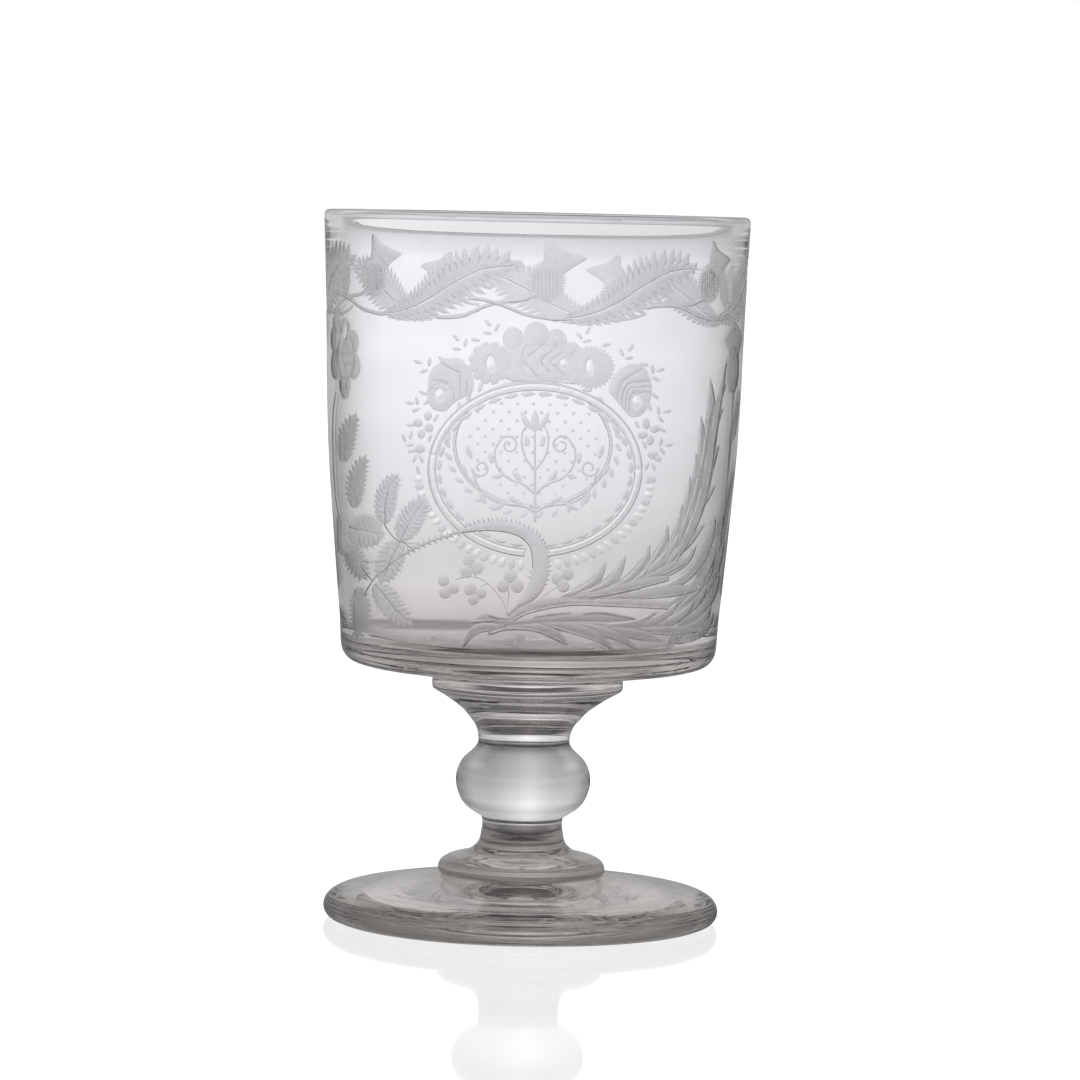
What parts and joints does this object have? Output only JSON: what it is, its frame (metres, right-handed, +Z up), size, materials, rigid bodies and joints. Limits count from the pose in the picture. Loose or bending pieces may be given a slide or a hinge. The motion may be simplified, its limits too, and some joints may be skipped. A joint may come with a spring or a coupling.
{
  "type": "drinking glass",
  "caption": "Rummer: bucket-bowled drinking glass with engraved bowl, collar, flared neck, ball knop, stepped collar and a broad round foot.",
  "frame": {"origin": "centre of the foot on the surface it stands on", "axes": "+Z up along the glass's axis, -Y towards the viewer of the engraved cartouche"},
  "size_m": [0.0898, 0.0898, 0.15],
  "materials": {
    "bowl": "clear, wheel-engraved matte ornament",
    "upper_collar": "clear",
    "upper_neck": "clear",
    "ball_knop": "clear",
    "lower_neck": "clear",
    "lower_collar": "clear",
    "foot": "clear, fine tooling rings"
  },
  "bodies": {
    "root": {"foot": "foot", "lower_collar": "lower_collar", "lower_neck": "lower_neck", "ball_knop": "ball_knop", "upper_neck": "upper_neck", "upper_collar": "upper_collar", "bowl": "bowl"}
  },
  "joints": []
}
